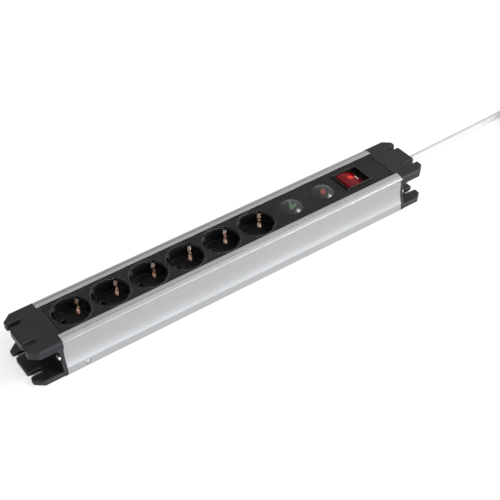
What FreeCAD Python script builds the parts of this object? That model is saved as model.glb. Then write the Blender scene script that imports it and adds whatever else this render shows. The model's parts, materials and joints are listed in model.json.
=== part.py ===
import FreeCAD, Part
import math
import os

# A 19-inch desk power strip: an aluminium channel with six earthed sockets, two lamp
# modules and a lit rocker switch, closed by a C-shaped plastic cap at each end.
# Frame: X along the strip (the cord leaves at +X), Z up, origin at the bottom centre.
# All sizes are in millimetres.

# Aluminium channel
profile_length = 415.5
profile_height = 45.0
profile_half_width = 33.25
wall = 1.8
channel_half_width = 22.4
ledge_half_width = 21.2
ledge_top = 41.6
screw_y = 27.0
screw_z = 21.0
lip_groove_y = 27.1
lip_groove_width = 0.7
lip_groove_floor = 44.4
earth_screw_x = -186.0
earth_screw_z = 5.2
earth_screw_seat_y = -32.2

# Modules in the channel
plate_top = 44.6
plate_half_width = 22.3
seam = 0.2
cap_seam = 0.7
first_module_x = -203.6
socket_pitch = 43.6
socket_count = 6
surge_module_length = 48.0
filter_module_length = 36.0
switch_module_length = 62.9

# Socket cup
cup_radius = 19.4
cup_wall = 1.5
mouth_radius = 19.9
mouth_depth = 2.0
cup_floor = 27.5
cup_floor_thickness = 2.0
bezel_radius = 21.1
bezel_height = 0.6
pin_circle_radius = 9.5
pin_hole_radius = 2.75
pin_gap_half = 2.7
rib_width = 5.0
rib_depth = 2.4
clip_width = 3.6
clip_foot_width = 5.0
clip_thickness = 0.8
clip_strip_z = 26.3
clip_slot_inner = 13.6
diagonal = math.radians(45)

# Rails under the sockets
carrier_top = 5.5
rail_thickness = 1.0
rail_y = pin_circle_radius * math.sin(diagonal)

# Lamp modules
lens_radius = 12.5
lens_height = 5.0
lens_wall = 1.6
spigot_radius = 10.8
spigot_wall = 1.6
spigot_low = 40.6
lamp_floor = 43.5
lamp_radius = 2.5
tick_top = 46.9
board_low = 13.0
board_top = 14.6

# Rocker switch
pivot_x = 162.9
pivot_z = 40.0
bezel_top = 46.4
bezel_half_x = 16.3
bezel_half_y = 15.0
switch_floor = 22.0
well_half_x = 14.9
well_half_y = 13.5
well_shelf_z = 38.4
lower_well_half_x = 12.6
housing_half_x = 15.6
housing_half_y = 14.3
rocker_tilt = 15.0
rocker_radius = 12.1
rocker_end_height = 1.84
rocker_crown = 4.5
rocker_half_width = 13.1
rocker_wall = 1.6
trunnion_radius = 1.5
lever_tilt = 7.5
lever_drop = 8.0
pole_y = 5.5
running_gap = 0.05

# End caps
cap_top = 44.5
cap_half_length = 241.3
cap_half_width = 32.8
cap_wall = 4.0
upper_flange_bottom = 35.5
lower_flange_top = 5.0
corner_cut_x = 9.0
corner_cut_y = 7.5
slot_y = 16.0
slot_radius = 3.3
slot_inner_x = 229.3
tab_rounding = 2.0

# Cord clamp and inner wires
sheath_end_x = 187.0
clamp_x = 193.0
clamp_half_length = 4.0
clamp_half_width = 8.5
clamp_screw_y = 6.0
wire_radius = 1.3
tab_z = 16.0

# Mains cord, 1.8 m long in all
cord_diameter = 7.0
cord_radius = cord_diameter / 2
cord_exit_x = 238.5
cord_y = 9.47
cord_z = 22.5
coil_x = 462.0
coil_y = -14.7
coil_radius = 40.0
layer = cord_diameter
plug_x = 522.0
plug_y = coil_y + coil_radius + layer
plug_z = 19.0

# The cord's free run, from the strain relief down to the table and on to the coil
cord_route = [
    (238.5, 9.47, 22.5),
    (261.0, 9.47, 22.5),
    (290.0, 12.8, 20.1),
    (323.0, 18.9, 14.3),
    (357.0, 26.0, 7.7),
    (391.0, 30.2, 4.1),
    (426.0, 31.6, 3.6),
    (462.0, 32.3, 3.6),
]

half_length = profile_length / 2
cap_wall_x = half_length + cap_wall
lever_pivot_z = pivot_z - lever_drop
on_rail_z = carrier_top + rail_thickness + wire_radius
socket_centres = [first_module_x + socket_pitch * (i + 0.5) for i in range(socket_count)]
surge_module_x = first_module_x + socket_pitch * socket_count
filter_module_x = surge_module_x + surge_module_length
switch_module_x = filter_module_x + filter_module_length
modules_end_x = switch_module_x + switch_module_length
surge_lamp_x = surge_module_x + surge_module_length / 2
filter_lamp_x = filter_module_x + filter_module_length / 2

X_AXIS = FreeCAD.Vector(1, 0, 0)
Y_AXIS = FreeCAD.Vector(0, 1, 0)
Z_AXIS = FreeCAD.Vector(0, 0, 1)


def at(x, y, z):
    return FreeCAD.Vector(x, y, z)


def block(x, y, z):
    """A box between the low and high value given for each axis."""
    return Part.makeBox(x[1] - x[0], y[1] - y[0], z[1] - z[0], at(x[0], y[0], z[0]))


def upright(x, y, radius, low, high):
    return Part.makeCylinder(radius, high - low, at(x, y, low), Z_AXIS)


def ring(x, y, inner, outer, low, high):
    return upright(x, y, outer, low, high).cut(upright(x, y, inner, low, high))


def closed_wire(start, *steps):
    """Straight edges from point to point; a pair (middle, end) is an arc."""
    edges = []
    here = start
    for step in steps:
        if isinstance(step, tuple):
            edges.append(Part.Arc(here, step[0], step[1]).toShape())
            here = step[1]
        else:
            edges.append(Part.LineSegment(here, step).toShape())
            here = step
    if (here - start).Length > 0.001:
        edges.append(Part.LineSegment(here, start).toShape())
    return Part.Wire(edges)


def prism(wire, travel):
    return Part.Face(wire).extrude(travel)


def flat_prism(corners, low, high):
    """A polygon in plan, from one height to another."""
    wire = closed_wire(*[at(x, y, low) for x, y in corners])
    return prism(wire, Z_AXIS * (high - low))


def joined(shapes):
    whole = shapes[0].multiFuse(shapes[1:]) if len(shapes) > 1 else shapes[0]
    return whole.removeSplitter()


def turned(shape, x, y, degrees):
    copy = shape.copy()
    copy.rotate(at(x, y, 0), Z_AXIS, degrees)
    return copy


def mirrored_x(shape):
    return shape.mirror(at(0, 0, 0), X_AXIS)


def rounded_path(points, share=0.45, radius=None):
    """Straight runs joined by tangent arcs, and the arcs' radii."""
    points = [FreeCAD.Vector(*p) for p in points]
    edges = []
    radii = []
    here = points[0]
    for before, corner, after in zip(points, points[1:], points[2:]):
        back = before - corner
        ahead = after - corner
        half_turn = (math.pi - back.getAngle(ahead)) / 2
        shorter = min(back.Length, ahead.Length)
        bend = radius or share * shorter / math.tan(half_turn)
        reach = bend * math.tan(half_turn)
        back.normalize()
        ahead.normalize()
        start = corner + back * reach
        end = corner + ahead * reach
        inward = back + ahead
        inward.normalize()
        middle = corner + inward * (bend / math.cos(half_turn) - bend)
        edges.append(Part.LineSegment(here, start).toShape())
        edges.append(Part.Arc(start, middle, end).toShape())
        radii.append(bend)
        here = end
    edges.append(Part.LineSegment(here, points[-1]).toShape())
    return Part.Wire(edges), radii


def swept(profile_wire, path):
    return path.makePipeShell([profile_wire], True, False)


def tube(points, radius, bend=None):
    path, radii = rounded_path(points, radius=bend)
    first = FreeCAD.Vector(*points[0])
    direction = FreeCAD.Vector(*points[1]) - first
    circle = Part.Wire([Part.makeCircle(radius, first, direction)])
    return swept(circle, path), path, radii


def strip(points, width_axis, width, thickness, bend):
    """A flat strip bent along points that lie in one plane."""
    path, _ = rounded_path(points, radius=bend)
    first = FreeCAD.Vector(*points[0])
    direction = FreeCAD.Vector(*points[1]) - first
    direction.normalize()
    across = width_axis * (width / 2)
    normal = direction.cross(width_axis) * (thickness / 2)
    corners = [
        first + across + normal,
        first + across - normal,
        first - across - normal,
        first - across + normal,
    ]
    return swept(closed_wire(*corners), path)


# ---------------------------------------------------------------- housing


def both_sides(right):
    """Follow the +Y half of an outline, given from bottom to top, with its mirror image."""

    def other(point):
        return at(point.x, -point.y, point.z)

    steps = []
    here = right[0]
    for step in right[1:]:
        if isinstance(step, tuple):
            steps.append((other(step[0]), other(here)))
            here = step[1]
        else:
            steps.append(other(here))
            here = step
    return closed_wire(*right, other(here), *reversed(steps))


def profile_outline(x):
    """The channel's outside: an upright foot, a hollow side and a sloping lip."""
    foot_z = 9.0
    return both_sides(
        [
            at(x, profile_half_width, 0),
            at(x, profile_half_width - 0.15, foot_z),
            (at(x, 30.3, 25.5), at(x, 32.75, 42.0)),
            at(x, 32.75, 43.0),
            (at(x, 29.92, 44.28), at(x, 26.9, profile_height)),
        ]
    )


def cavity_outline(x):
    """The channel's inside, open at the top, with a ledge for the modules."""
    side = profile_half_width - wall
    lip_outer = channel_half_width + 1.6
    lip_low = 40.2
    lip_high = 42.6
    return both_sides(
        [
            at(x, side, wall),
            at(x, side - 0.15, 9.0),
            (at(x, 28.5, 25.5), at(x, 30.9, 41.0)),
            at(x, 30.9, lip_high),
            at(x, lip_outer, lip_high),
            at(x, lip_outer, lip_low),
            at(x, ledge_half_width, lip_low),
            at(x, ledge_half_width, ledge_top),
            at(x, channel_half_width, ledge_top),
            at(x, channel_half_width, profile_height + 1),
        ]
    )


def housing_extrusion():
    start = -half_length
    along = X_AXIS * profile_length
    outside = prism(profile_outline(start), along)
    body = outside.cut(prism(cavity_outline(start), along))
    boss_radius = 3.4
    screw_bore = 1.7
    bosses = []
    cuts = []
    for side in (-1, 1):
        foot = at(start, side * screw_y, screw_z)
        bosses.append(Part.makeCylinder(boss_radius, profile_length, foot, X_AXIS))
        cuts.append(Part.makeCylinder(screw_bore, profile_length, foot, X_AXIS))
        edges = sorted((side * lip_groove_y, side * (lip_groove_y + lip_groove_width)))
        cuts.append(block((start, -start), edges, (lip_groove_floor, profile_height + 1)))
    seat = at(earth_screw_x, earth_screw_seat_y, earth_screw_z)
    cuts.append(Part.makeCylinder(3.2, 3.0, seat, Y_AXIS * -1))
    cuts.append(Part.makeCylinder(1.9, 3.0, seat, Y_AXIS))
    return joined([body] + bosses).common(outside).cut(joined(cuts))


def earth_screw():
    """The screw and nut that bond the channel to earth, sunk in the front foot."""
    seat = at(earth_screw_x, earth_screw_seat_y, earth_screw_z)
    head = Part.makeCylinder(2.7, 0.6, seat, Y_AXIS * -1)
    shank = Part.makeCylinder(1.7, 7.0, seat, Y_AXIS)
    nut_y = -profile_half_width + wall + 0.2
    nut_radius = 3.2
    corners = []
    for number in range(6):
        angle = math.radians(60 * number)
        x = earth_screw_x + nut_radius * math.cos(angle)
        corners.append(at(x, nut_y, earth_screw_z + nut_radius * math.sin(angle)))
    nut = prism(closed_wire(*corners), Y_AXIS * 2.4)
    recess = block(
        (earth_screw_x - 1.7, earth_screw_x + 1.7),
        (earth_screw_seat_y - 1.0, earth_screw_seat_y - 0.25),
        (earth_screw_z - 0.3, earth_screw_z + 0.3),
    )
    cross = recess.copy()
    cross.rotate(seat, Y_AXIS, 90)
    return joined([head, shank, nut]).cut(recess).cut(cross)


def flange_outline():
    """One end flange in plan at +X, with cut corners and rounded tab ends."""
    root = half_length
    end = cap_half_length
    corner_x = end - corner_cut_x
    corner_y = cap_half_width - corner_cut_y
    return [
        (root, -cap_half_width),
        (corner_x, -cap_half_width),
        (end, -corner_y),
        (end, corner_y),
        (corner_x, cap_half_width),
        (root, cap_half_width),
    ]


def flange(low, high, edge):
    plate = flat_prism(flange_outline(), low, high)
    outer = [
        e
        for e in plate.Edges
        if abs(e.CenterOfMass.z - high) < 0.01 and e.CenterOfMass.x > half_length + 1
    ]
    plate = plate.makeChamfer(edge, outer)
    for side in (-1, 1):
        y = side * slot_y
        slot = upright(slot_inner_x, y, slot_radius, low, high)
        mouth = block(
            (slot_inner_x, cap_half_length + 1),
            (y - slot_radius, y + slot_radius),
            (low, high),
        )
        plate = plate.cut(slot.fuse(mouth))
    corners = [
        e
        for e in plate.Edges
        if abs(e.CenterOfMass.x - cap_half_length) < 0.01
        and abs(abs(abs(e.CenterOfMass.y) - slot_y) - slot_radius) < 0.01
        and abs(e.tangentAt(e.FirstParameter).z) > 0.9
    ]
    return plate.makeFillet(tab_rounding, corners)


def end_cap():
    """The +X cap: an end wall between two slotted flanges, and a tongue."""
    wall_plate = prism(profile_outline(half_length), X_AXIS * cap_wall)
    trim = block((half_length - 1, cap_wall_x + 1), (-40, 40), (cap_top, 50))
    upper = flange(upper_flange_bottom, cap_top, 1.4)
    lower = flange(0, lower_flange_top, 1.2)
    gusset = 4.5
    gussets = []
    for side in (-1, 1):
        outer = side * cap_half_width
        inner = side * (cap_half_width - 3.0)
        corners = [
            at(cap_wall_x, inner, upper_flange_bottom),
            at(cap_wall_x + gusset, inner, upper_flange_bottom),
            at(cap_wall_x, inner, upper_flange_bottom - gusset),
        ]
        gussets.append(prism(closed_wire(*corners), Y_AXIS * (outer - inner) * 0.8))
    cap = joined([wall_plate.cut(trim), upper, lower] + gussets)
    for side in (-1, 1):
        hole = Part.makeCylinder(2.1, cap_wall + 2, at(half_length - 1, side * screw_y, screw_z), X_AXIS)
        cap = cap.cut(hole)
    return cap


def tongue(inner_x):
    """The part of a cap that closes the channel's mouth beyond the modules."""
    return block(
        (inner_x + cap_seam, half_length),
        (-plate_half_width, plate_half_width),
        (ledge_top, cap_top),
    )


def left_end_cap():
    return mirrored_x(end_cap().fuse(tongue(-first_module_x)).removeSplitter())


def right_end_cap():
    cap = end_cap().fuse(tongue(modules_end_x)).removeSplitter()
    gland_radius = 7.0
    hole = Part.makeCylinder(gland_radius, 8, at(half_length - 1, cord_y, cord_z), X_AXIS)
    return cap.cut(hole)


def cap_screws():
    head_radius = 2.9
    head_height = 2.0
    shank_radius = 1.65
    shank_length = 14.0
    screws = []
    for side in (-1, 1):
        centre = at(cap_wall_x, side * screw_y, screw_z)
        head = Part.makeCylinder(head_radius, head_height, centre, X_AXIS)
        top_edge = [e for e in head.Edges if e.CenterOfMass.x > cap_wall_x + head_height - 0.1]
        head = head.makeFillet(0.9, top_edge)
        shank = Part.makeCylinder(shank_radius, shank_length, centre, X_AXIS * -1)
        recess = block(
            (cap_wall_x + 1.0, cap_wall_x + 3.0),
            (side * screw_y - 1.8, side * screw_y + 1.8),
            (screw_z - 0.4, screw_z + 0.4),
        )
        cross = recess.copy()
        cross.rotate(centre, X_AXIS, 90)
        screw = head.fuse(shank).cut(recess).cut(cross)
        screws += [screw, mirrored_x(screw)]
    return Part.makeCompound(screws)


# ---------------------------------------------------------------- sockets


def face_plate(low_x, high_x):
    """A module's top plate, with a small bevel round its upper edge."""
    plate = block(
        (low_x + seam / 2, high_x - seam / 2),
        (-plate_half_width, plate_half_width),
        (ledge_top, plate_top),
    )
    rim = [e for e in plate.Edges if abs(e.CenterOfMass.z - plate_top) < 0.01]
    return plate.makeChamfer(0.4, rim)


def skirts(low_x, high_x, low_z):
    """The two side walls that carry a module on the rail carrier."""
    return [
        block((low_x + 0.3, high_x - 0.3), (y, y + 1.4), (low_z, ledge_top))
        for y in (-20.9, 19.5)
    ]


def diagonal_cutters(x, width, inner, outer, low, high, start_angle):
    """Two radial slots, opposite each other across a cup."""
    cutter = block((x + inner, x + outer), (-width / 2, width / 2), (low, high))
    return [turned(cutter, x, 0, start_angle + half) for half in (0, 180)]


def socket(x):
    low_x = x - socket_pitch / 2
    high_x = x + socket_pitch / 2
    under = cup_floor - cup_floor_thickness
    top = plate_top + bezel_height
    outside = upright(x, 0, cup_radius + cup_wall, under, ledge_top + 0.5)
    bezel = upright(x, 0, bezel_radius, ledge_top + 0.5, top)
    bezel_rim = [e for e in bezel.Edges if abs(e.CenterOfMass.z - top) < 0.01]
    bezel = bezel.makeFillet(0.5, bezel_rim)
    solid = joined([face_plate(low_x, high_x), outside, bezel] + skirts(low_x, high_x, carrier_top))
    solid = solid.cut(upright(x, 0, cup_radius, cup_floor, top + 1))
    solid = solid.cut(upright(x, 0, mouth_radius, top - mouth_depth, top + 1))
    rib_top = top - mouth_depth - 0.4
    rib = block(
        (x + cup_radius - rib_depth, x + cup_radius + 0.5),
        (-rib_width / 2, rib_width / 2),
        (cup_floor, rib_top),
    )
    lead_in = [
        e
        for e in rib.Edges
        if abs(e.CenterOfMass.z - rib_top) < 0.01 and e.CenterOfMass.x < x + cup_radius - rib_depth + 0.1
    ]
    rib = rib.makeChamfer(1.2, lead_in)
    solid = joined([solid] + [turned(rib, x, 0, angle) for angle in (135, 315)])
    holes = []
    for side in (-1, 1):
        pin = at(x - side * rail_y, side * rail_y, 0)
        holes.append(upright(pin.x, pin.y, pin_hole_radius, under - 1, cup_floor + 1))
        holes.append(
            Part.makeCone(pin_hole_radius, pin_hole_radius + 0.7, 0.7, at(pin.x, pin.y, cup_floor - 0.7))
        )
    slot_outer = cup_radius + 0.9
    slots = diagonal_cutters(x, clip_width + 1, 17.2, slot_outer, under - 1, top + 1, 45)
    slots += diagonal_cutters(
        x, clip_foot_width + 0.6, clip_slot_inner, slot_outer, under - 1, cup_floor + 1, 45
    )
    groove_top = clip_strip_z + clip_thickness / 2 + 0.1
    slots += diagonal_cutters(x, clip_width + 0.6, -1, slot_outer, under - 1, groove_top, 45)
    return solid.cut(joined(holes + slots))


def earth_clips(x):
    """Two sprung tongues on one strip that passes under the cup's floor."""
    foot_r = 18.8
    half = [
        (foot_r, clip_strip_z),
        (foot_r, 32.0),
        (16.0, 37.6),
        (18.6, 42.4),
    ]
    left = [(x - r, 0, z) for r, z in reversed(half)]
    right = [(x + r, 0, z) for r, z in half]
    clips = strip(left + right, Y_AXIS, clip_width, clip_thickness, 1.2)
    tips = [
        e
        for e in clips.Edges
        if e.CenterOfMass.z > 41.5 and abs(abs(e.CenterOfMass.y) - clip_width / 2) < 0.01
        and e.Length < 2 * clip_thickness
    ]
    clips = clips.makeFillet(1.3, tips)
    strip_levels = (clip_strip_z - clip_thickness / 2, clip_strip_z + clip_thickness / 2)
    parts = [clips]
    windows = []
    for side in (-1, 1):
        foot = sorted((x + side * (clip_slot_inner + 0.3), x + side * 17.4))
        window = sorted((x + side * 15.0, x + side * 16.4))
        parts.append(block(foot, (-clip_foot_width / 2, clip_foot_width / 2), strip_levels))
        windows.append(block(window, (-0.9, 0.9), (clip_strip_z - 1, clip_strip_z + 1)))
    return turned(joined(parts).cut(joined(windows)), x, 0, 45)


def contact_leaves(x, y):
    """A pair of sprung leaves that grip one plug pin."""
    leaf_top = 23.0
    leaves = []
    for side in (-1, 1):
        gap = side * pin_gap_half
        points = [
            (x, y + gap, carrier_top),
            (x, y + gap, leaf_top - 5.0),
            (x, y + gap - side * 0.5, leaf_top - 2.5),
            (x, y + gap + side * 0.3, leaf_top),
        ]
        leaves.append(strip(points, X_AXIS, 5.0, 0.6, 1.5))
    return leaves


def power_rail(side):
    """A flat rail with a pair of leaves under one pin hole of every socket."""
    y = side * rail_y
    last = socket_centres[-1] + 14
    rail = block(
        (socket_centres[0] - 14, last),
        (y - 3.6, y + 3.6),
        (carrier_top, carrier_top + rail_thickness),
    )
    tab = block((last - 4, last + 10), (y - 2, y + 2), (carrier_top, carrier_top + rail_thickness))
    parts = [rail, tab]
    for x in socket_centres:
        parts += contact_leaves(x - side * rail_y, y)
    return joined(parts)


def earth_rail():
    last = socket_centres[-1] + 26
    rail_half = 1.5
    clip_under = clip_strip_z - clip_thickness / 2
    parts = [
        block(
            (socket_centres[0] - 14, last),
            (-rail_half, rail_half),
            (carrier_top, carrier_top + rail_thickness),
        )
    ]
    for x in socket_centres:
        parts.append(block((x - 2, x + 2), (-0.5, 0.5), (carrier_top, clip_under)))
    return joined(parts)


def rail_carrier():
    """The insulating tray on the channel's floor that keeps the rails apart."""
    low_x = first_module_x + 1
    high_x = modules_end_x - 1
    tray = block((low_x, high_x), (-20.9, 20.9), (wall, carrier_top))
    pockets = []
    for x in socket_centres:
        for y in (-15.5, 12.0):
            pockets.append(block((x - 18, x + 18), (y, y + 3.5), (wall + 1.2, carrier_top)))
    fences = []
    fence_x = (socket_centres[0] - 16, socket_centres[-1] + 12)
    for y in (-2.6, 1.9, -11.6, 10.9):
        fences.append(block(fence_x, (y, y + 0.7), (carrier_top, carrier_top + 2.2)))
    return joined([tray.cut(joined(pockets))] + fences)


# ---------------------------------------------------------------- lamp modules


def lamp_module(low_x, high_x, lamp_x):
    """A plate with a round seat for the lens and a floor for the lamp to shine through."""
    collar_low = 38.6
    above = plate_top + 1
    groove_inner = spigot_radius - spigot_wall - 0.1
    collar = upright(lamp_x, 0, spigot_radius + 1.6, collar_low, ledge_top + 0.5)
    body = joined([face_plate(low_x, high_x), collar] + skirts(low_x, high_x, carrier_top))
    cuts = [
        upright(lamp_x, 0, lens_radius + 0.1, plate_top - 0.5, above),
        upright(lamp_x, 0, groove_inner + 0.05, lamp_floor, above),
        ring(lamp_x, 0, groove_inner, spigot_radius + 0.1, spigot_low - 0.2, above),
        upright(lamp_x, 0, 7.6, collar_low - 1, 41.9),
        upright(lamp_x, 0, lamp_radius + 0.1, collar_low, above),
    ]
    return body.cut(joined(cuts))


def lens(lamp_x):
    """A clear dome, hollow over the lamp, with a spigot ring that plugs into the module."""
    base = plate_top - 0.5
    crown = plate_top + lens_height
    sphere_radius = (lens_radius**2 + lens_height**2) / (2 * lens_height)
    centre = at(lamp_x, 0, crown - sphere_radius)
    spigot_inner = spigot_radius - spigot_wall
    dome = Part.makeSphere(sphere_radius, centre).common(upright(lamp_x, 0, lens_radius, base, crown))
    hollow = Part.makeSphere(sphere_radius - lens_wall, centre)
    hollow = hollow.common(upright(lamp_x, 0, spigot_inner, base, crown))
    spigot = ring(lamp_x, 0, spigot_inner, spigot_radius, spigot_low, base + 0.2)
    return dome.fuse(spigot).cut(hollow).removeSplitter()


def lamp(lamp_x, tip_z):
    """A small light-emitting diode with its two legs."""
    round_z = tip_z - lamp_radius
    body = upright(lamp_x, 0, lamp_radius, round_z - 5.9, round_z)
    tip = Part.makeSphere(lamp_radius, at(lamp_x, 0, round_z))
    collar = upright(lamp_x, 0, 2.9, round_z - 6.5, round_z - 5.6)
    legs = [upright(lamp_x, y, 0.3, board_top + 0.1, round_z - 6.3) for y in (-1.27, 1.27)]
    return joined([body, tip, collar] + legs)


def surge_tick():
    """A light guide in the shape of a tick, lit from below while the protection works."""
    corner_x = surge_lamp_x - 1.4
    corner_y = -2.6
    half_stroke = 0.85
    strokes = ((8.6, 69), (6.6, 15))
    bars = []
    for length, degrees in strokes:
        bar = block(
            (corner_x - half_stroke, corner_x + length),
            (corner_y - half_stroke, corner_y + half_stroke),
            (lamp_floor, tick_top),
        )
        bars.append(turned(bar, corner_x, corner_y, degrees))
    return joined(bars)


def surge_board():
    low_x = surge_module_x + 4
    high_x = filter_module_x + filter_module_length - 4
    board = block((low_x, high_x), (-18.5, 18.5), (board_low, board_top))
    posts = []
    for x in (low_x + 4, high_x - 4):
        for y in (-15, 15):
            posts.append(upright(x, y, 2.0, carrier_top, board_low))
    return joined([board] + posts)


def varistors():
    disc_radius = 7.0
    discs = []
    for number in range(3):
        x = surge_module_x + 9 + 8 * number
        disc = Part.makeCylinder(disc_radius, 4.2, at(x, 9, board_top + disc_radius + 1.5), X_AXIS)
        disc = disc.makeFillet(1.2, disc.Edges[:1] + disc.Edges[2:3])
        legs = [upright(x + 2.1, 9 + y, 0.4, board_top, board_top + 3) for y in (-3.75, 3.75)]
        discs.append(joined([disc] + legs))
    return Part.makeCompound(discs)


def gas_discharge_tube():
    y = -9
    axis_z = board_top + 4.3
    parts = [Part.makeCylinder(4.0, 6.0, at(surge_module_x + 10, y, axis_z), X_AXIS)]
    for x in (9.4, 15.8):
        parts.append(Part.makeCylinder(4.3, 0.8, at(surge_module_x + x, y, axis_z), X_AXIS))
    return joined(parts)


def thermal_fuse():
    y = -9
    axis_z = board_top + 2.0
    parts = [Part.makeCylinder(2.0, 10.0, at(surge_module_x + 24, y, axis_z), X_AXIS)]
    for x in (21.2, 33.8):
        parts.append(Part.makeCylinder(0.5, 3.0, at(surge_module_x + x, y, axis_z), X_AXIS))
    return joined(parts)


def filter_capacitor():
    body = block((filter_module_x - 4, filter_module_x + 4), (-12, 14), (board_top, board_top + 15))
    return body.makeFillet(0.8, [e for e in body.Edges if abs(e.CenterOfMass.z - board_top) > 1])


def filter_choke():
    """A ring core standing on the board, wound on both halves."""
    x = filter_module_x + 9
    centre = at(x, 0, board_top + 10.5)
    core = Part.makeTorus(7.0, 3.2, centre, X_AXIS)
    base = block((x - 4.5, x + 4.5), (-6, 6), (board_top, board_top + 2.5))
    windings = []
    for step in range(6):
        for side in (-1, 1):
            angle = math.radians(30 + 24 * step) * side
            spot = centre + at(0, 7.0 * math.sin(angle), 7.0 * math.cos(angle))
            heading = at(0, math.cos(angle), -math.sin(angle))
            windings.append(Part.makeTorus(3.4, 0.55, spot, heading))
    return joined([core, base] + windings)


# ---------------------------------------------------------------- switch


def around_pivot(x, z):
    """A point in the plane through the rocker's middle, measured from its pivot."""
    return at(pivot_x + x, 0, pivot_z + z)


def switch_module():
    plate = face_plate(switch_module_x, modules_end_x)
    clearance = 0.1
    opening = block(
        (pivot_x - housing_half_x - clearance, pivot_x + housing_half_x + clearance),
        (-housing_half_y - clearance, housing_half_y + clearance),
        (30, 50),
    )
    return joined([plate] + skirts(switch_module_x, modules_end_x, carrier_top)).cut(opening)


def switch_frame():
    bezel = block(
        (pivot_x - bezel_half_x, pivot_x + bezel_half_x),
        (-bezel_half_y, bezel_half_y),
        (plate_top, bezel_top),
    )
    rim = [e for e in bezel.Edges if abs(e.CenterOfMass.z - bezel_top) < 0.01]
    bezel = bezel.makeFillet(0.8, rim)
    box = block(
        (pivot_x - housing_half_x, pivot_x + housing_half_x),
        (-housing_half_y, housing_half_y),
        (switch_floor, plate_top),
    )
    frame = bezel.fuse(box)
    wells = ((well_half_x, well_shelf_z), (lower_well_half_x, switch_floor + 1.5))
    for half_x, floor in wells:
        well = block(
            (pivot_x - half_x, pivot_x + half_x),
            (-well_half_y, well_half_y),
            (floor, bezel_top + 1),
        )
        frame = frame.cut(well)
    frame = frame.removeSplitter()
    bearing = Part.makeCylinder(
        trunnion_radius + running_gap,
        2 * housing_half_y + 2,
        at(pivot_x, -housing_half_y - 1, pivot_z),
        Y_AXIS,
    )
    tab_holes = [
        block((x - 0.5, x + 0.5), (y - 3.3, y + 3.3), (switch_floor - 1, switch_floor + 2))
        for x, y in terminal_places()
    ]
    lamp_hole = upright(pivot_x + 6.5, 0, 1.9, switch_floor - 1, switch_floor + 2)
    return frame.cut(bearing).cut(joined(tab_holes + [lamp_hole]))


def rocker_section(radius, end_height, crown, half_width):
    """A rocker with a barrel top at mid-travel, as a block across the switch."""
    low_z = -1.6
    low_x = math.sqrt(radius**2 - low_z**2)
    end_x = math.sqrt(radius**2 - end_height**2)
    wire = closed_wire(
        around_pivot(-low_x, low_z),
        around_pivot(low_x, low_z),
        (around_pivot(radius, 0), around_pivot(end_x, end_height)),
        (around_pivot(0, crown), around_pivot(-end_x, end_height)),
        (around_pivot(-radius, 0), around_pivot(-low_x, low_z)),
    )
    solid = prism(wire, Y_AXIS * (2 * half_width))
    solid.translate(at(0, -half_width, 0))
    return solid


def tilted(shape, degrees, height):
    copy = shape.copy()
    copy.rotate(at(pivot_x, 0, height), Y_AXIS, degrees)
    return copy


def rocker():
    width = rocker_half_width
    wall_in = rocker_wall
    outside = rocker_section(rocker_radius, rocker_end_height, rocker_crown, width)
    top_edges = [e for e in outside.Edges if e.CenterOfMass.z > pivot_z + rocker_end_height - 0.1]
    outside = outside.makeFillet(0.9, top_edges)
    inside = rocker_section(
        rocker_radius - wall_in, rocker_end_height - wall_in, rocker_crown - wall_in, width - wall_in
    )
    floor_opening = block(
        (pivot_x - 10.3, pivot_x + 10.3),
        (-width + wall_in, width - wall_in),
        (pivot_z - 3, pivot_z),
    )
    shell = outside.cut(inside).cut(floor_opening)
    trunnions = [
        Part.makeCylinder(trunnion_radius, 2.0, at(pivot_x, y, pivot_z), Y_AXIS)
        for y in (-width - 1.0, width - 1.0)
    ]
    guides = [ring(pivot_x, y, 1.7, 2.7, pivot_z - 0.5, pivot_z + 3.5) for y in (-pole_y, pole_y)]
    return tilted(joined([shell] + trunnions + guides), rocker_tilt, pivot_z)


def switch_plungers():
    """The two sprung plungers in the rocker that push the contact levers."""
    stem_radius = 1.6
    tip_z = pivot_z - 5.4
    plungers = []
    for y in (-pole_y, pole_y):
        stem = upright(pivot_x, y, stem_radius, tip_z, pivot_z + 2.6)
        tip = Part.makeSphere(stem_radius, at(pivot_x, y, tip_z))
        plungers.append(tilted(stem.fuse(tip), rocker_tilt, pivot_z))
    return Part.makeCompound(plungers)


def contact_lever(y):
    """A seesaw contact blade, down on its -X side while the switch is on."""
    blade = block((pivot_x - 8.2, pivot_x + 8.2), (y - 2, y + 2), (lever_pivot_z, lever_pivot_z + 0.7))
    rivet = Part.makeCone(1.4, 1.0, 0.9, at(pivot_x - 6.8, y, lever_pivot_z), Z_AXIS * -1)
    return tilted(blade.fuse(rivet), -lever_tilt, lever_pivot_z)


def terminal_places():
    places = []
    for y in (-pole_y, pole_y):
        places += [(pivot_x, y), (pivot_x - 8.5, y)]
    return places


def switch_terminals():
    tab_low = 14.5
    anvil_top = lever_pivot_z - 2.2
    terminals = []
    for x, y in terminal_places():
        is_middle = x == pivot_x
        post_top = lever_pivot_z - 0.4 if is_middle else anvil_top - 0.5
        parts = [
            block((x - 0.4, x + 0.4), (y - 3.15, y + 3.15), (tab_low, switch_floor + 2.5)),
            block((x - 0.4, x + 0.4), (y - 1.6, y + 1.6), (switch_floor + 2, post_top)),
        ]
        if not is_middle:
            parts.append(block((x - 0.4, x + 3.2), (y - 1.6, y + 1.6), (anvil_top - 1.0, anvil_top)))
        terminals.append(joined(parts))
    return Part.makeCompound(terminals)


def switch_lamp():
    """The neon lamp that lights the rocker from below."""
    round_z = pivot_z - 8.1
    bulb = upright(pivot_x + 6.5, 0, 1.8, switch_floor + 1, round_z)
    dome = Part.makeSphere(1.8, at(pivot_x + 6.5, 0, round_z))
    legs = [upright(pivot_x + x, 0, 0.3, switch_floor - 5, switch_floor + 2) for x in (5.7, 7.3)]
    return joined([bulb, dome] + legs)


# ---------------------------------------------------------------- cord entry and wires


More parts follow.
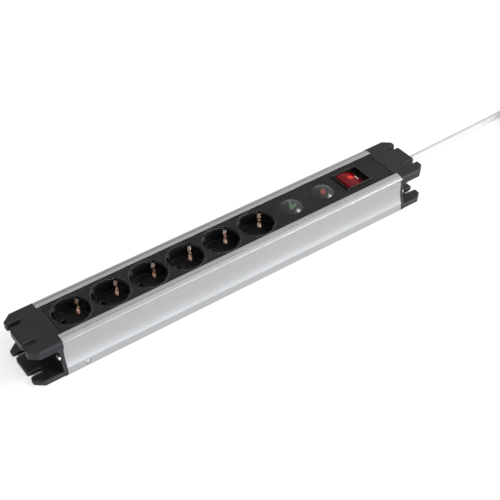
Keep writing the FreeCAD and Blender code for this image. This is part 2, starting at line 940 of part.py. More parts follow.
def cord_gland():
    """A bush that clips into the cap, with a tapered and ribbed relief."""
    collar = 1.6
    outer_groove = 6.9
    tip_radius = 4.7
    root_radius = 6.2
    base_x = cap_wall_x
    bush = Part.makeCylinder(outer_groove, cap_wall, at(half_length, cord_y, cord_z), X_AXIS)
    inner_collar = Part.makeCylinder(8.4, collar, at(half_length - collar, cord_y, cord_z), X_AXIS)
    outer_collar = Part.makeCylinder(8.6, collar, at(base_x, cord_y, cord_z), X_AXIS)
    taper_length = cord_exit_x - base_x - collar
    taper = Part.makeCone(
        root_radius, tip_radius, taper_length, at(base_x + collar, cord_y, cord_z), X_AXIS
    )
    body = joined([bush, inner_collar, outer_collar, taper])
    grooves = []
    for number in range(4):
        x = base_x + collar + 4.0 + 5.0 * number
        groove = Part.makeCylinder(8, 1.6, at(x, cord_y, cord_z), X_AXIS)
        core = Part.makeCylinder(4.3, 1.6, at(x, cord_y, cord_z), X_AXIS)
        grooves.append(groove.cut(core))
    bore = Part.makeCylinder(cord_radius, 60, at(half_length - 10, cord_y, cord_z), X_AXIS)
    return body.cut(joined(grooves)).cut(bore)


def cord_sheath_end():
    """The sheathed cord inside the gland and the clamp."""
    start = at(sheath_end_x, cord_y, cord_z)
    return Part.makeCylinder(cord_radius, cord_exit_x - sheath_end_x, start, X_AXIS)


def clamp_half(low, high):
    """One half of the cord clamp, hollowed for the cord."""
    half = block(
        (clamp_x - clamp_half_length, clamp_x + clamp_half_length),
        (cord_y - clamp_half_width, cord_y + clamp_half_width),
        (low, high),
    )
    start = at(clamp_x - 10, cord_y, cord_z)
    return half.cut(Part.makeCylinder(cord_radius, 20, start, X_AXIS))


def clamp_rods(radius, low, high):
    """Upright rods where the clamp's two screws stand."""
    ys = (cord_y - clamp_screw_y, cord_y + clamp_screw_y)
    return [upright(clamp_x, y, radius, cord_z + low, cord_z + high) for y in ys]


def clamp_base():
    """The lower half of the clamp, standing on the rail carrier."""
    return clamp_half(carrier_top, cord_z - 0.4).cut(joined(clamp_rods(1.1, -9, 0)))


def clamp_bridge():
    return clamp_half(cord_z + 0.4, cord_z + 6.0).cut(joined(clamp_rods(1.4, 0, 7)))


def clamp_screws():
    heads = clamp_rods(2.3, 6.0, 7.6)
    shanks = clamp_rods(1.05, -8, 6.0)
    return Part.makeCompound([head.fuse(shank) for head, shank in zip(heads, shanks)])


def wire(points):
    return tube(points, wire_radius, bend=3.0)[0]


def live_supply_wire():
    return wire(
        [
            (sheath_end_x, cord_y + 1.5, cord_z - 1.2),
            (180.0, cord_y + 1.5, tab_z),
            (163.0, cord_y + 0.5, 10.0),
            (154.4, pole_y + 1.0, 10.0),
            (154.4, pole_y, tab_z - 1.5),
        ]
    )


def neutral_supply_wire():
    return wire(
        [
            (sheath_end_x, cord_y - 1.6, cord_z - 1.2),
            (179.0, cord_y - 8.0, tab_z),
            (166.0, -12.0, 10.0),
            (154.4, -pole_y - 2.0, 10.0),
            (154.4, -pole_y, tab_z - 1.5),
        ]
    )


def earth_wire():
    return wire(
        [
            (sheath_end_x, cord_y, cord_z + 1.9),
            (176.0, cord_y - 6.0, 18.0),
            (166.0, 0.0, 8.2),
            (130.0, 0.8, 7.9),
            (socket_centres[-1] + 23, 0.0, on_rail_z),
        ]
    )


def load_wire(side):
    """From a switch terminal under the board to the end of its power rail."""
    y = side * rail_y
    return wire(
        [
            (pivot_x, side * pole_y, tab_z - 1.5),
            (pivot_x - 1.0, side * pole_y, 7.0),
            (120.0, side * 9.0, 7.0),
            (72.0, y + side * 1.0, 7.6),
            (socket_centres[-1] + 20, y, on_rail_z),
        ]
    )


# ---------------------------------------------------------------- cord, coil and plug


def cord_run():
    body, path, radii = tube(cord_route, cord_radius)
    section = math.pi * cord_radius**2
    print("cord run radii", [round(r) for r in radii])
    ratio = body.Volume / (section * path.Length)
    print("cord run length", round(path.Length, 1), "volume ratio", round(ratio, 4))
    return body


def cord_coil():
    """The outer shape of the wound cord: two layers, and its end on top of them."""
    inner = coil_radius - 1.5 * layer
    outer = coil_radius + 1.5 * layer
    two_layers = ring(coil_x, coil_y, inner, outer, 0, 2 * layer)
    rims = [e for e in two_layers.Edges if e.Length > 3 * inner]
    two_layers = two_layers.makeFillet(2.4, rims)
    last_turn = Part.makeCylinder(outer, layer - 0.6, at(coil_x, coil_y, 2 * layer - 0.4), Z_AXIS, 180)
    last_turn = last_turn.cut(upright(coil_x, coil_y, outer - layer, 0, 4 * layer))
    last_turn.rotate(at(coil_x, coil_y, 0), Z_AXIS, 90)
    return two_layers.fuse(last_turn).removeSplitter().cut(cord_tie())


def tie_section(grow, low):
    inner = coil_radius - 1.5 * layer - grow
    outer = coil_radius + 1.5 * layer + grow
    half = 9.0
    top = 2 * layer + grow
    return block((coil_x + inner, coil_x + outer), (coil_y - half, coil_y + half), (low, top))


def cord_tie():
    """A hook-and-loop strap round every turn of the coil."""
    strap = 1.1
    return tie_section(strap, 0).cut(tie_section(0.0, strap))


def cord_tail():
    """The last straight stretch, from the coil into the plug."""
    start = at(coil_x, plug_y, 2.5 * layer)
    end = at(plug_x - 26, plug_y, plug_z)
    return Part.makeCylinder(cord_radius, (end - start).Length, start, end - start)


def plug_strain_relief():
    length = 26.0
    start = plug_x - length
    taper = Part.makeCone(4.9, 7.4, length, at(start, plug_y, plug_z), X_AXIS)
    grooves = []
    for number in range(4):
        x = start + 3.5 + 5.5 * number
        groove = Part.makeCylinder(10, 1.8, at(x, plug_y, plug_z), X_AXIS)
        core = Part.makeCylinder(4.2, 1.8, at(x, plug_y, plug_z), X_AXIS)
        grooves.append(groove.cut(core))
    return taper.cut(joined(grooves))


def plug_body():
    """A round two-pin plug with an earth contact recess on each side."""
    radius = 18.8
    shoulder = 12.0
    length = 38.0
    cone = Part.makeCone(10.5, radius, shoulder, at(plug_x, plug_y, plug_z), X_AXIS)
    drum = Part.makeCylinder(radius, length - shoulder, at(plug_x + shoulder, plug_y, plug_z), X_AXIS)
    front = [e for e in drum.Edges if e.CenterOfMass.x > plug_x + length - 0.1]
    body = cone.fuse(drum.makeFillet(1.2, front)).removeSplitter()
    recesses = []
    for x in (14.0, 16.6, 19.2):
        centre = at(plug_x + x, plug_y, plug_z)
        grip = Part.makeCylinder(radius + 1, 1.2, centre, X_AXIS)
        recesses.append(grip.cut(Part.makeCylinder(radius - 0.6, 1.2, centre, X_AXIS)))
    for side in (-1, 1):
        y = plug_y + side * (radius - 1.4)
        recesses.append(
            block(
                (plug_x + length - 15, plug_x + length + 1),
                (y - 1.5, y + 1.5),
                (plug_z - 3.2, plug_z + 3.2),
            )
        )
        z = plug_z + side * (radius - 1.3)
        recesses.append(
            block(
                (plug_x + length - 17, plug_x + length + 1),
                (plug_y - 3, plug_y + 3),
                (z - 1.4, z + 1.4),
            )
        )
    return body.cut(joined(recesses))


def plug_pins():
    pins = []
    for side in (-1, 1):
        z = plug_z + side * pin_circle_radius
        pin = Part.makeCylinder(2.4, 19.0, at(plug_x + 38.0, plug_y, z), X_AXIS)
        tip = [e for e in pin.Edges if e.CenterOfMass.x > plug_x + 56.9]
        pins.append(pin.makeFillet(1.6, tip))
    return Part.makeCompound(pins)


def plug_earth_contacts():
    contacts = []
    for side in (-1, 1):
        y = plug_y + side * 16.5
        contacts.append(
            block((plug_x + 24.0, plug_x + 37.6), (y - 0.4, y + 0.4), (plug_z - 2.4, plug_z + 2.4))
        )
    return Part.makeCompound(contacts)


def sub_parts():
    parts = {
        "housing_extrusion": housing_extrusion(),
        "left_end_cap": left_end_cap(),
        "right_end_cap": right_end_cap(),
        "cap_screws": cap_screws(),
        "earth_screw": earth_screw(),
        "rail_carrier": rail_carrier(),
        "live_rail": power_rail(1),
        "neutral_rail": power_rail(-1),
        "earth_rail": earth_rail(),
    }
    for number, x in enumerate(socket_centres, start=1):
        parts[f"socket_{number}"] = socket(x)
        parts[f"earth_clips_{number}"] = earth_clips(x)
    parts.update(
        {
            "surge_module": lamp_module(surge_module_x, filter_module_x, surge_lamp_x),
            "surge_lens": lens(surge_lamp_x),
            "surge_lamp": lamp(surge_lamp_x, lamp_floor - 0.2),
            "surge_tick": surge_tick(),
            "filter_module": lamp_module(filter_module_x, switch_module_x, filter_lamp_x),
            "filter_lens": lens(filter_lamp_x),
            "filter_lamp": lamp(filter_lamp_x, tick_top + 0.5),
            "surge_board": surge_board(),
            "varistors": varistors(),
            "gas_discharge_tube": gas_discharge_tube(),
            "thermal_fuse": thermal_fuse(),
            "filter_capacitor": filter_capacitor(),
            "filter_choke": filter_choke(),
            "switch_module": switch_module(),
            "switch_frame": switch_frame(),
            "rocker": rocker(),
            "switch_plungers": switch_plungers(),
            "live_contact_lever": contact_lever(pole_y),
            "neutral_contact_lever": contact_lever(-pole_y),
            "switch_terminals": switch_terminals(),
            "switch_lamp": switch_lamp(),
            "cord_gland": cord_gland(),
            "cord_sheath_end": cord_sheath_end(),
            "clamp_base": clamp_base(),
            "clamp_bridge": clamp_bridge(),
            "clamp_screws": clamp_screws(),
            "live_supply_wire": live_supply_wire(),
            "neutral_supply_wire": neutral_supply_wire(),
            "earth_wire": earth_wire(),
            "live_load_wire": load_wire(1),
            "neutral_load_wire": load_wire(-1),
            "cord_run": cord_run(),
            "cord_coil": cord_coil(),
            "cord_tie": cord_tie(),
            "cord_tail": cord_tail(),
            "plug_strain_relief": plug_strain_relief(),
            "plug_body": plug_body(),
            "plug_pins": plug_pins(),
            "plug_earth_contacts": plug_earth_contacts(),
        }
    )
    return parts


os.makedirs("parts", exist_ok=True)
for name, shape in sub_parts().items():
    shape.exportStep(f"parts/{name}.step")
    print(name, "solids", len(shape.Solids), "valid", shape.isValid(), "volume", round(shape.Volume))
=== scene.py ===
import json
import math

import bmesh
import bpy
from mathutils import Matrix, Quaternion, Vector


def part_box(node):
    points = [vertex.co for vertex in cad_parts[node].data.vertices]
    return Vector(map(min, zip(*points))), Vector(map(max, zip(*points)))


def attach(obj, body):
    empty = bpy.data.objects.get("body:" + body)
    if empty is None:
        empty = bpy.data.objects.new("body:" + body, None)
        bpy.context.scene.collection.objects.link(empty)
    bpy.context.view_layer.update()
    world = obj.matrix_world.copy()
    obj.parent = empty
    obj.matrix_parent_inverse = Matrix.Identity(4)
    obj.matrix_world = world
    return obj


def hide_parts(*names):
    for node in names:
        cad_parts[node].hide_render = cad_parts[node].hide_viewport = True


# The looks of the desk power strip, in metres, in the frame of the CAD model:
# X along the strip (the cord leaves at +X), Z up, origin at the bottom centre.

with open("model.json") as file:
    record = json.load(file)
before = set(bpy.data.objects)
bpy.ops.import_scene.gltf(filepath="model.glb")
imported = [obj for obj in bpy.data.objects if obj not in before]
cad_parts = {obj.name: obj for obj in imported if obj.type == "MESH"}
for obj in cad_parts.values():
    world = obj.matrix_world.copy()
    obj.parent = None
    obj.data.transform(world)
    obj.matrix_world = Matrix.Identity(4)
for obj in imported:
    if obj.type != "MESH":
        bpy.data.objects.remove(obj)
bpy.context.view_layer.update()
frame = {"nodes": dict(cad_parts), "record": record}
nodes = frame["nodes"]

# Camera
camera_place = Vector((-0.48088, -0.76055, 0.81915))
camera_azimuth = math.radians(-32.93)
camera_elevation = math.radians(39.96)
camera_roll = math.radians(2.39)
camera_lens = 83.206
camera_sensor = 36.0
camera_shift = (0.0278, -0.0581)

# Studio: its brightness all round, how that grows along X, Y and Z, and its tint
studio_level = 0.36
studio_slope = (0.36, -0.12, 0.70)
studio_tint = (1.0, 0.995, 0.985)

# Soft boxes: where each stands, the point it faces, its size, power in watts and colour
front_box = {
    "place": (0.2, -3.0, 0.40),
    "target": (0, 0, 0.02),
    "size": (4.0, 0.7),
    "power": 132,
    "colour": (0.95, 0.975, 1.0),
}
above_box = {
    "place": (1.25, -0.92, 1.42),
    "target": (0.08, 0, 0.04),
    "size": (0.80, 0.80),
    "power": 21,
    "colour": (1.0, 0.985, 0.955),
}

# Floor: its size and level, its own brightness, and the painted shadow under the strip
floor_half = 8.0
floor_level = -0.0003
paper_glow = 0.57
paper_glow_in_shade = 0.04
shade_half_x = 0.2385
shade_half_y = 0.0300
shade_fade = 0.003

# Rocker: its barrel top and the raised bar that marks its on side, whose layers from the foot
# up are each a share of its outline and a height above the barrel
rocker_pivot = Vector((0.1629, 0, 0.040))
rocker_tilt = 15.0
rocker_crown = 0.0045
barrel_radius = 0.0282
mark_along = 0.0070
mark_across = 0.0005
mark_half_length = 0.0034
mark_half_width = 0.0008
mark_corner_step = 15
mark_layers = ((1.0, -0.00005), (1.0, 0.0001), (0.75, 0.00016))

# Painted glow of the lamp in the rocker, an emission in its material: its place from the rocker's middle
# and top, and its radii
glow_along = 0.0005
glow_across = 0.0025
glow_depth = 0.002
glow_bright_radius = 0.0005
glow_radius = 0.0055

# Mains cord: a 7 mm cord, 1.8 m long, most of it wound up past the picture's edge
cord_diameter = 0.007
cord_route = [
    (0.2385, 0.00947, 0.0225),
    (0.2610, 0.00947, 0.0225),
    (0.2900, 0.0128, 0.0201),
    (0.3230, 0.0189, 0.0143),
    (0.3570, 0.0260, 0.0077),
    (0.3910, 0.0302, 0.0041),
    (0.4260, 0.0316, 0.0036),
]
coil_centre = Vector((0.4620, -0.0147))
inner, middle, outer = 0.033, 0.040, 0.047
first, second, third = 0.0035, 0.0105, 0.0175
coil_step = 30
cord_tail = [
    (0.4640, 0.0330, 0.0175),
    (0.4800, 0.0325, 0.0181),
    (0.4960, 0.0323, 0.0190),
]

# The coil, clockwise from its back: degrees turned so far, radius and height there
coil_plan = [
    (0, outer, first),
    (300, outer, first),
    (360, middle, first),
    (660, middle, first),
    (720, inner, first),
    (960, inner, first),
    (1020, inner, second),
    (1260, inner, second),
    (1320, middle, second),
    (1620, middle, second),
    (1680, outer, second),
    (1920, outer, second),
    (1980, outer, third),
    (2160, outer, third),
]


# ---------------------------------------------------------------- camera, studio and light


def add_camera():
    back = Vector((
        math.sin(camera_azimuth) * math.cos(camera_elevation),
        -math.cos(camera_azimuth) * math.cos(camera_elevation),
        math.sin(camera_elevation),
    ))
    data = bpy.data.cameras.new("camera")
    data.lens = camera_lens
    data.sensor_width = camera_sensor
    data.shift_x, data.shift_y = camera_shift
    data.clip_start = 0.01
    data.clip_end = 50.0
    camera = bpy.data.objects.new("camera", data)
    camera.location = camera_place
    camera.rotation_mode = "QUATERNION"
    camera.rotation_quaternion = (
        (-back).to_track_quat("-Z", "Y") @ Quaternion((0, 0, 1), -camera_roll)
    )
    bpy.context.collection.objects.link(camera)
    bpy.context.scene.camera = camera


def add_soft_box(name, place, target, size, power, colour):
    data = bpy.data.lights.new(name, "AREA")
    data.shape = "RECTANGLE"
    data.size, data.size_y = size
    data.energy = power
    data.color = colour
    light = bpy.data.objects.new(name, data)
    light.location = place
    aim = Vector(target) - Vector(place)
    light.rotation_euler = aim.to_track_quat("-Z", "Y").to_euler()
    bpy.context.collection.objects.link(light)


def add_lights():
    """A long low soft box in front and a bright one above the cord's end."""
    add_soft_box("front", **front_box)
    add_soft_box("above", **above_box)


def add_world():
    """A plain studio, bright above and towards the cord's end and dimmer at the horizon."""
    world = bpy.data.worlds.new("studio")
    world.use_nodes = True
    tree = world.node_tree
    direction = tree.nodes.new("ShaderNodeTexCoord").outputs["Generated"]
    slope = tree.nodes.new("ShaderNodeVectorMath")
    slope.operation = "DOT_PRODUCT"
    slope.inputs[1].default_value = studio_slope
    level = tree.nodes.new("ShaderNodeMath")
    level.operation = "ADD"
    level.inputs[1].default_value = studio_level
    background = tree.nodes["Background"]
    background.inputs["Color"].default_value = (*studio_tint, 1)
    tree.links.new(direction, slope.inputs[0])
    tree.links.new(slope.outputs["Value"], level.inputs[0])
    tree.links.new(level.outputs["Value"], background.inputs["Strength"])
    bpy.context.scene.world = world


# ---------------------------------------------------------------- materials


class Finish:
    """A material in the making: its nodes, its shader and its texture coordinates."""

    def __init__(self, name):
        self.material = bpy.data.materials.new(name)
        self.material.use_nodes = True
        self.tree = self.material.node_tree
        self.shader = self.tree.nodes["Principled BSDF"]
        self.coords = self.add("ShaderNodeTexCoord").outputs["Object"]

    def add(self, kind, **settings):
        node = self.tree.nodes.new(kind)
        for name, value in settings.items():
            setattr(node, name, value)
        return node

    def put(self, socket, value):
        if isinstance(value, bpy.types.NodeSocket):
            self.tree.links.new(value, socket)
        elif isinstance(value, tuple) and len(value) == 3 and socket.type == "RGBA":
            socket.default_value = (*value, 1)
        else:
            socket.default_value = value

    def shade(self, **values):
        for name, value in values.items():
            self.put(self.shader.inputs[name.replace("_", " ")], value)

    def stretched(self, x, y, z):
        node = self.add("ShaderNodeMapping")
        self.put(node.inputs["Vector"], self.coords)
        node.inputs["Scale"].default_value = (x, y, z)
        return node.outputs["Vector"]

    def noise(self, scale, detail=3.0, coords=None):
        node = self.add("ShaderNodeTexNoise")
        self.put(node.inputs["Vector"], coords or self.coords)
        self.put(node.inputs["Scale"], scale)
        self.put(node.inputs["Detail"], detail)
        return node.outputs["Fac"]

    def cells(self, scale, coords=None):
        node = self.add("ShaderNodeTexVoronoi")
        self.put(node.inputs["Vector"], coords or self.coords)
        self.put(node.inputs["Scale"], scale)
        return node.outputs["Distance"]

    def spread(self, value, low, high, start=0.0, end=1.0):
        """value from start..end, mapped to low..high."""
        node = self.add("ShaderNodeMapRange")
        self.put(node.inputs["Value"], value)
        self.put(node.inputs["From Min"], start)
        self.put(node.inputs["From Max"], end)
        self.put(node.inputs["To Min"], low)
        self.put(node.inputs["To Max"], high)
        return node.outputs["Result"]

    def combine(self, operation, a, b):
        node = self.add("ShaderNodeMath", operation=operation)
        self.put(node.inputs[0], a)
        self.put(node.inputs[1], b)
        return node.outputs["Value"]

    def mix(self, factor, a, b):
        """A blend of two colours, whose sockets share their names with others of the node."""
        node = self.add("ShaderNodeMix", data_type="RGBA")
        self.put(node.inputs[0], factor)
        self.put(node.inputs[6], a)
        self.put(node.inputs[7], b)
        return node.outputs[2]

    def rounded(self, radius):
        node = self.add("ShaderNodeBevel", samples=4)
        self.put(node.inputs["Radius"], radius)
        return node.outputs["Normal"]

    def edges(self, normal):
        """1 on sharp edges, 0 on flat faces."""
        true_normal = self.add("ShaderNodeNewGeometry").outputs["Normal"]
        node = self.add("ShaderNodeVectorMath", operation="DOT_PRODUCT")
        self.put(node.inputs[0], normal)
        self.put(node.inputs[1], true_normal)
        return self.spread(node.outputs["Value"], 1.0, 0.0, 0.80, 0.99)

    def creases(self, reach):
        """Ambient occlusion as a mask for painted shade: 1 deep in grooves and inner corners, 0 on open
        faces.
        """
        node = self.add("ShaderNodeAmbientOcclusion", samples=8)
        self.put(node.inputs["Distance"], reach)
        return self.spread(node.outputs["AO"], 1.0, 0.0, 0.35, 0.85)

    def bump(self, height, strength, depth, normal=None):
        node = self.add("ShaderNodeBump")
        self.put(node.inputs["Height"], height)
        self.put(node.inputs["Strength"], strength)
        self.put(node.inputs["Distance"], depth)
        if normal is not None:
            self.put(node.inputs["Normal"], normal)
        return node.outputs["Normal"]


def brushed_metal(name, dark, light, rough):
    """Anodised extrusion: faint draw lines along X, edges painted paler as a highlight and grooves painted
    darker as shade.
    """
    finish = Finish(name)
    streaks = finish.noise(1.0, 4.0, finish.stretched(4, 900, 900))
    blotches = finish.noise(25.0)
    sparkle = finish.noise(4500.0, 2.0)
    rounded = finish.rounded(0.00035)
    edge = finish.edges(rounded)
    colour = finish.mix(finish.spread(streaks, 0, 1, 0.25, 0.75), dark, light)
    # painted highlight: the edges are lightened towards pale grey
    painted_edge_highlight = finish.mix(finish.combine("MULTIPLY", edge, 0.25), colour, (0.90, 0.90, 0.89))
    # painted shade: grooves and inner corners are darkened by ambient occlusion
    painted_crease_shade = finish.mix(finish.creases(0.0012), painted_edge_highlight, (0.10, 0.10, 0.10))
    grain = finish.combine("ADD", sparkle, finish.combine("MULTIPLY", blotches, 0.5))
    finish.shade(
        Base_Color=painted_crease_shade,
        Metallic=1.0,
        Roughness=finish.spread(grain, rough - 0.04, rough + 0.05, 0.4, 1.1),
        Normal=finish.bump(sparkle, 0.12, 0.00002, finish.bump(streaks, 0.12, 0.00002, rounded)),
    )
    return finish.material


def moulded_plastic(
    name, dark, light, rough, grain=0.0006, edge_highlight_colour=None, depth=0.00004, gloss=0.5,
    sheen_edge=0.6, soften=0.0005,
):
    """Textured moulding: sparked grain, faint speckle and mottle, and softened edges painted paler as a
    highlight.
    """
    finish = Finish(name)
    sparks = finish.noise(1 / grain, 4.0)
    pits = finish.cells(0.6 / grain)
    mottle = finish.noise(45.0)
    rounded = finish.rounded(soften)
    edge = finish.edges(rounded)
    large = finish.combine("MULTIPLY", mottle, 0.4)
    small = finish.combine("MULTIPLY", sparks, 0.6)
    speckle = finish.combine("ADD", large, small)
    colour = finish.mix(finish.spread(speckle, 0, 1, 0.38, 0.65), dark, light)
    # painted highlight: the edges are lightened towards the edge colour, which by default is a paler copy
    # of the light tone
    painted_edge_sheen = finish.mix(
        finish.combine("MULTIPLY", edge, sheen_edge),
        colour,
        edge_highlight_colour or tuple(min(1.0, 2.2 * c + 0.01) for c in light),
    )
    height = finish.combine("ADD", sparks, finish.combine("MULTIPLY", pits, 0.6))
    finish.shade(
        Base_Color=painted_edge_sheen,
        Roughness=finish.spread(sparks, rough - 0.08, rough + 0.08, 0.3, 0.7),
        Specular_IOR_Level=gloss,
        Normal=finish.bump(height, 0.5, depth, rounded),
    )
    return finish.material


def polished_metal(name, dark, light, rough):
    """Rolled or plated metal with a little tarnish and fine scratches."""
    finish = Finish(name)
    tarnish = finish.noise(220.0, 5.0)
    scratches = finish.noise(1.0, 2.0, finish.stretched(9000, 900, 900))
    finish.shade(
        Base_Color=finish.mix(finish.spread(tarnish, 0, 1, 0.35, 0.65), dark, light),
        Metallic=1.0,
        Roughness=finish.spread(tarnish, rough - 0.04, rough + 0.1, 0.3, 0.7),
        Normal=finish.bump(scratches, 0.15, 0.00002, finish.rounded(0.00015)),
    )
    return finish.material


def smoke_lens():
    """Smoky clear plastic, dark enough to hide all but the lit lamps."""
    finish = Finish("smoke_lens")
    swirl = finish.noise(90.0)
    finish.shade(
        Base_Color=finish.mix(swirl, (0.07, 0.074, 0.074), (0.10, 0.104, 0.104)),
        Transmission_Weight=1.0,
        Roughness=finish.spread(swirl, 0.14, 0.20),
        IOR=1.45,
        Specular_IOR_Level=0.2,
        Coat_Weight=0.35,
        Coat_Roughness=0.28,
        Normal=finish.bump(swirl, 0.05, 0.00005),
    )
    return finish.material


def glowing_lamp(name, body, glow, power):
    """A lit lamp, slightly cloudy."""
    finish = Finish(name)
    cloud = finish.noise(600.0)
    finish.shade(
        Base_Color=finish.mix(cloud, body, glow),
        Roughness=finish.spread(cloud, 0.15, 0.3),
        Emission_Color=finish.mix(cloud, glow, tuple(0.7 * c for c in glow)),
        Emission_Strength=power,
    )
    return finish.material


def rocker_red():
    """Translucent red plastic, with the lamp's light painted in as an emission, brightest round the lamp's
    place and faint all over.
    """
    finish = Finish("rocker_red")
    cloud = finish.noise(300.0)
    blur = finish.noise(120.0, 2.0)
    low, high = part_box("rocker")
    lamp = finish.add("ShaderNodeVectorMath", operation="DISTANCE")
    finish.put(lamp.inputs[0], finish.coords)
    lamp.inputs[1].default_value = ((low.x + high.x) / 2 + glow_along, glow_across, high.z - glow_depth)
    reach = finish.combine("ADD", lamp.outputs["Value"], finish.spread(blur, -0.0015, 0.0015))
    # painted light: emission that stands for the lamp inside, strongest near it and faint everywhere else
    glow = finish.spread(reach, 1.0, 0.0, glow_bright_radius, glow_radius)
    finish.shade(
        Base_Color=finish.mix(cloud, (0.07, 0.002, 0.003), (0.12, 0.003, 0.005)),
        Roughness=finish.spread(cloud, 0.22, 0.30),
        Specular_IOR_Level=0.12,
        Emission_Color=finish.mix(glow, (0.55, 0.0, 0.012), (1.0, 0.07, 0.03)),
        Emission_Strength=finish.spread(glow, 0.06, 1.0),
        Normal=finish.bump(cloud, 0.1, 0.00005, finish.rounded(0.0006)),
    )
    return finish.material


def cord_sheath():
    """White extruded sheath: a slight orange peel and a faint mottle."""
    finish = Finish("cord_sheath")
    peel = finish.noise(700.0, 2.0)
    dirt = finish.noise(35.0, 4.0)
    finish.shade(
        Base_Color=finish.mix(finish.spread(dirt, 0, 1, 0.4, 0.7), (0.43, 0.43, 0.43), (0.39, 0.39, 0.39)),
        Roughness=finish.spread(peel, 0.24, 0.38),
        Normal=finish.bump(peel, 0.25, 0.00008),
    )
    return finish.material


def tie_fabric():
    """Woven hook-and-loop strap."""
    finish = Finish("tie_fabric")
    fuzz = finish.noise(2500.0, 4.0)
    weave = finish.cells(900.0)
    height = finish.combine("ADD", fuzz, weave)
    finish.shade(
        Base_Color=finish.mix(fuzz, (0.010, 0.010, 0.011), (0.045, 0.045, 0.048)),
        Roughness=finish.spread(weave, 0.75, 0.95),
        Sheen_Weight=0.12,
        Sheen_Roughness=0.5,
        Normal=finish.bump(height, 0.8, 0.0003),
    )
    return finish.material


def mark_white():
    """Printed white: slightly rough ink with tiny pinholes."""
    finish = Finish("mark_white")
    speck = finish.noise(3000.0)
    finish.shade(
        Base_Color=finish.mix(speck, (0.78, 0.62, 0.62), (0.86, 0.74, 0.74)),
        Roughness=finish.spread(speck, 0.35, 0.5),
        Normal=finish.bump(speck, 0.2, 0.00003),
    )
    return finish.material


def all_finishes():
    """One finish for every material slot of the record."""
    made = [
        brushed_metal("anodised_aluminium", (0.405, 0.410, 0.416), (0.435, 0.440, 0.446), rough=0.29),
        moulded_plastic(
            "cap_plastic", (0.008, 0.008, 0.010), (0.012, 0.012, 0.015), rough=0.44, gloss=0.27,
            edge_highlight_colour=(0.10, 0.10, 0.11), sheen_edge=0.8, depth=0.00008, soften=0.0009,
        ),
        moulded_plastic(
            "module_plastic", (0.003, 0.003, 0.003), (0.016, 0.016, 0.016), rough=0.36, gloss=0.16,
            grain=0.0018, edge_highlight_colour=(0.26, 0.26, 0.27), sheen_edge=0.9, depth=0.0005, soften=0.0003,
        ),
        moulded_plastic(
            "plug_plastic", (0.54, 0.54, 0.55), (0.60, 0.60, 0.61), rough=0.42, grain=0.0007,
            edge_highlight_colour=(0.66, 0.66, 0.67),
        ),
        moulded_plastic("carrier_plastic", (0.30, 0.29, 0.26), (0.36, 0.35, 0.31), rough=0.5),
        moulded_plastic("capacitor_case", (0.60, 0.45, 0.08), (0.70, 0.52, 0.10), rough=0.4),
        moulded_plastic("choke_ferrite", (0.10, 0.13, 0.08), (0.30, 0.11, 0.04), rough=0.45, grain=0.002),
        moulded_plastic(
            "varistor_coating", (0.02, 0.07, 0.30), (0.03, 0.10, 0.38), rough=0.35, grain=0.001,
        ),
        moulded_plastic("fuse_coating", (0.62, 0.60, 0.54), (0.72, 0.70, 0.64), rough=0.5),
        moulded_plastic("tube_ceramic", (0.70, 0.68, 0.64), (0.80, 0.78, 0.74), rough=0.35),
        moulded_plastic("board_laminate", (0.02, 0.12, 0.05), (0.04, 0.18, 0.07), rough=0.4),
        moulded_plastic("wire_brown", (0.10, 0.035, 0.015), (0.13, 0.045, 0.02), rough=0.4),
        moulded_plastic("wire_blue", (0.02, 0.08, 0.35), (0.03, 0.11, 0.42), rough=0.4),
        moulded_plastic("wire_earth", (0.55, 0.55, 0.03), (0.10, 0.40, 0.05), rough=0.4, grain=0.003),
        polished_metal("contact_brass", (0.42, 0.29, 0.11), (0.58, 0.43, 0.19), rough=0.28),
        polished_metal("clip_bronze", (0.50, 0.29, 0.20), (0.98, 0.86, 0.77), rough=0.10),
        polished_metal("zinc_steel", (0.55, 0.55, 0.56), (0.72, 0.72, 0.73), rough=0.25),
        polished_metal("pin_nickel", (0.62, 0.60, 0.56), (0.75, 0.73, 0.69), rough=0.18),
        smoke_lens(),
        glowing_lamp("green_lamp", (0.10, 0.30, 0.12), (0.50, 1.0, 0.52), power=1.7),
        glowing_lamp("orange_lamp", (0.5, 0.10, 0.03), (1.0, 0.18, 0.09), power=3.4),
        glowing_lamp("neon_glass", (0.5, 0.2, 0.1), (1.0, 0.4, 0.12), power=1.0),
        rocker_red(),
        cord_sheath(),
        tie_fabric(),
    ]
    return {material.name.split(".")[0]: material for material in made}


def paint(obj, material):
    obj.data.materials.clear()
    obj.data.materials.append(material)


def paint_nodes(finishes):
    """Every carried-over CAD node takes the finish of its own material slot."""
    for entry in frame["record"]["subparts"]:
        obj = nodes[entry["node"]]
        for place in obj.material_slots:
            place.material = finishes[entry["material_slot"]]


# ---------------------------------------------------------------- floor


def floor_glow(finish):
    """The paper's own brightness, which dies away under the strip as a painted shadow."""
    parted = finish.add("ShaderNodeSeparateXYZ")
    finish.put(parted.inputs[0], finish.coords)
    past_end = finish.combine("SUBTRACT", finish.combine("ABSOLUTE", parted.outputs[0], 0.0), shade_half_x)
    past_side = finish.combine("SUBTRACT", finish.combine("ABSOLUTE", parted.outputs[1], 0.0), shade_half_y)
    outside = finish.combine("MAXIMUM", past_end, past_side)
    return finish.spread(outside, paper_glow_in_shade, paper_glow, -shade_fade, 0.0)


def floor_paper():
    """White paper with a faint fibre."""
    finish = Finish("floor_paper")
    fibre = finish.noise(400.0)
    finish.shade(
        Base_Color=finish.mix(fibre, (0.42, 0.42, 0.42), (0.46, 0.46, 0.46)),
        Roughness=finish.spread(fibre, 0.8, 0.95),
        Specular_IOR_Level=0.1,
        Emission_Color=(0.98, 0.99, 1.0, 1),
        Emission_Strength=floor_glow(finish),
    )
    return finish.material


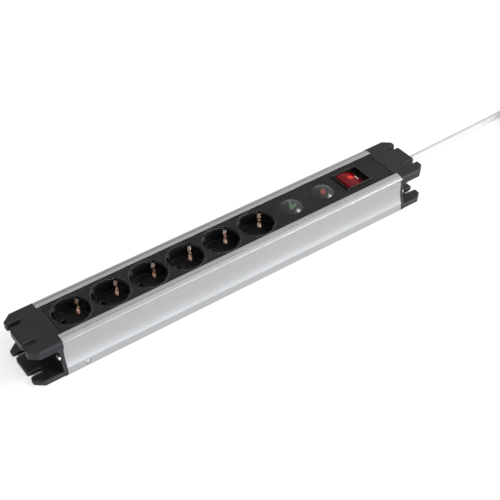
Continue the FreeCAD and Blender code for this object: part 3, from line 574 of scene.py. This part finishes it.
def add_floor():
    signs = [(-1, -1), (1, -1), (1, 1), (-1, 1)]
    corners = [(floor_half * x, floor_half * y, floor_level) for x, y in signs]
    mesh = bpy.data.meshes.new("floor")
    mesh.from_pydata(corners, [], [(0, 1, 2, 3)])
    floor = bpy.data.objects.new("floor", mesh)
    bpy.context.collection.objects.link(floor)
    paint(floor, floor_paper())


# ---------------------------------------------------------------- on mark of the switch


def rocker_surface(along, across):
    """A point on the rocker's barrel top, measured along and across it from its pivot."""
    height = rocker_crown - barrel_radius + math.sqrt(barrel_radius**2 - along**2)
    tilt = math.radians(rocker_tilt)
    x = rocker_pivot.x + along * math.cos(tilt) + height * math.sin(tilt)
    z = rocker_pivot.z + height * math.cos(tilt) - along * math.sin(tilt)
    normal = Vector((along / barrel_radius, 0, math.sqrt(1 - (along / barrel_radius) ** 2)))
    turned = Vector((
        normal.x * math.cos(tilt) + normal.z * math.sin(tilt),
        0,
        normal.z * math.cos(tilt) - normal.x * math.sin(tilt),
    ))
    return Vector((x, across, z)), turned


def mark_outline():
    """The bar's rounded outline, as distances along and across the rocker."""
    straight = mark_half_length - mark_half_width
    outline = []
    for degrees in range(0, 360, mark_corner_step):
        turn = math.radians(degrees)
        end = straight if degrees <= 180 else -straight
        outline.append((mark_half_width * math.cos(turn), mark_half_width * math.sin(turn) + end))
    return outline


def mark_mesh():
    """The bar as rings of corners, from its sunk foot to its smaller top."""
    build = bmesh.new()
    rings = []
    for share, lift in mark_layers:
        ring = []
        for along, across in mark_outline():
            place, normal = rocker_surface(mark_along + along * share, mark_across + across * share)
            ring.append(build.verts.new(place + normal * lift))
        rings.append(ring)
    for low, high in zip(rings, rings[1:]):
        for i in range(len(low)):
            j = (i + 1) % len(low)
            build.faces.new((low[i], low[j], high[j], high[i]))
    build.faces.new(rings[-1])
    build.faces.new(list(reversed(rings[0])))
    mesh = bpy.data.meshes.new("on_mark")
    build.to_mesh(mesh)
    build.free()
    return mesh


def add_on_mark():
    """The raised bar of the switch's on mark, moulded to the curve of the rocker."""
    mark = bpy.data.objects.new("on_mark", mark_mesh())
    bpy.context.collection.objects.link(mark)
    paint(mark, mark_white())
    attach(mark, "rocker")


# ---------------------------------------------------------------- cord


def coil_points():
    """Control points round the coil, slightly outside the turns that they make."""
    outside = 1 / math.cos(math.radians(coil_step / 2))
    points = []
    for start, end in zip(coil_plan, coil_plan[1:]):
        steps = (end[0] - start[0]) // coil_step
        for i in range(steps):
            turned, radius, height = (a + (b - a) * i / steps for a, b in zip(start, end))
            angle = math.radians(90 - turned)
            x = coil_centre.x + radius * outside * math.cos(angle)
            y = coil_centre.y + radius * outside * math.sin(angle)
            points.append((x, y, height))
    return points


def cord_points():
    """The free run, six turns wound inwards and then up and outwards, and the tail."""
    return cord_route + coil_points() + cord_tail


def add_cord(finishes):
    curve = bpy.data.curves.new("mains_cord", "CURVE")
    curve.dimensions = "3D"
    spline = curve.splines.new("NURBS")
    places = cord_points()
    spline.points.add(len(places) - 1)
    for point, place in zip(spline.points, places):
        point.co = (*place, 1)
    spline.order_u = 3
    spline.use_endpoint_u = True
    spline.resolution_u = 6
    curve.bevel_depth = cord_diameter / 2
    curve.bevel_resolution = 8
    curve.use_fill_caps = True
    cord = bpy.data.objects.new("mains_cord", curve)
    bpy.context.collection.objects.link(cord)
    paint(cord, finishes["cord_sheath"])
    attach(cord, "strip")
    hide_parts("cord_run", "cord_coil", "cord_tail")


add_camera()
add_world()
add_lights()
finishes = all_finishes()
paint_nodes(finishes)
add_cord(finishes)
add_on_mark()
add_floor()
bpy.context.scene.view_settings.view_transform = "Standard"
